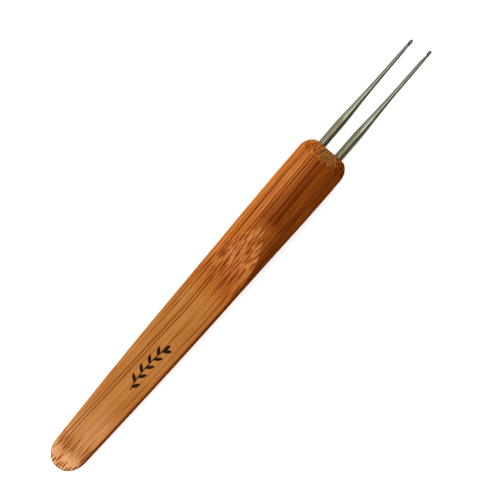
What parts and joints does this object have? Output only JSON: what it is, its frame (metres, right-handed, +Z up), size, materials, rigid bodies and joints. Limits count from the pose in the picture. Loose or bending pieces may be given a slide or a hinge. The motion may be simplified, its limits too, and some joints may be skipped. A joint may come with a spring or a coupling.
{
  "type": "crochet hook",
  "caption": "Slim twin steel crochet hooks side by side in a bamboo handle, round at the front and planed to a flat, round-ended paddle behind.",
  "frame": {"origin": "on the surface it lies on, under the middle of its length and width", "axes": "+X along the tool towards the hooks, +Y across the handle, +Z up out of the marked flat"},
  "size_m": [0.15, 0.0146, 0.0156],
  "materials": {
    "bamboo": "satin lacquer over caramel bamboo",
    "steel": "drawn and polished lengthwise",
    "adhesive": "cured clear amber"
  },
  "bodies": {
    "root": {"handle": "bamboo", "hook_left": "steel", "hook_right": "steel", "adhesive_left": "adhesive", "adhesive_right": "adhesive"}
  },
  "joints": []
}
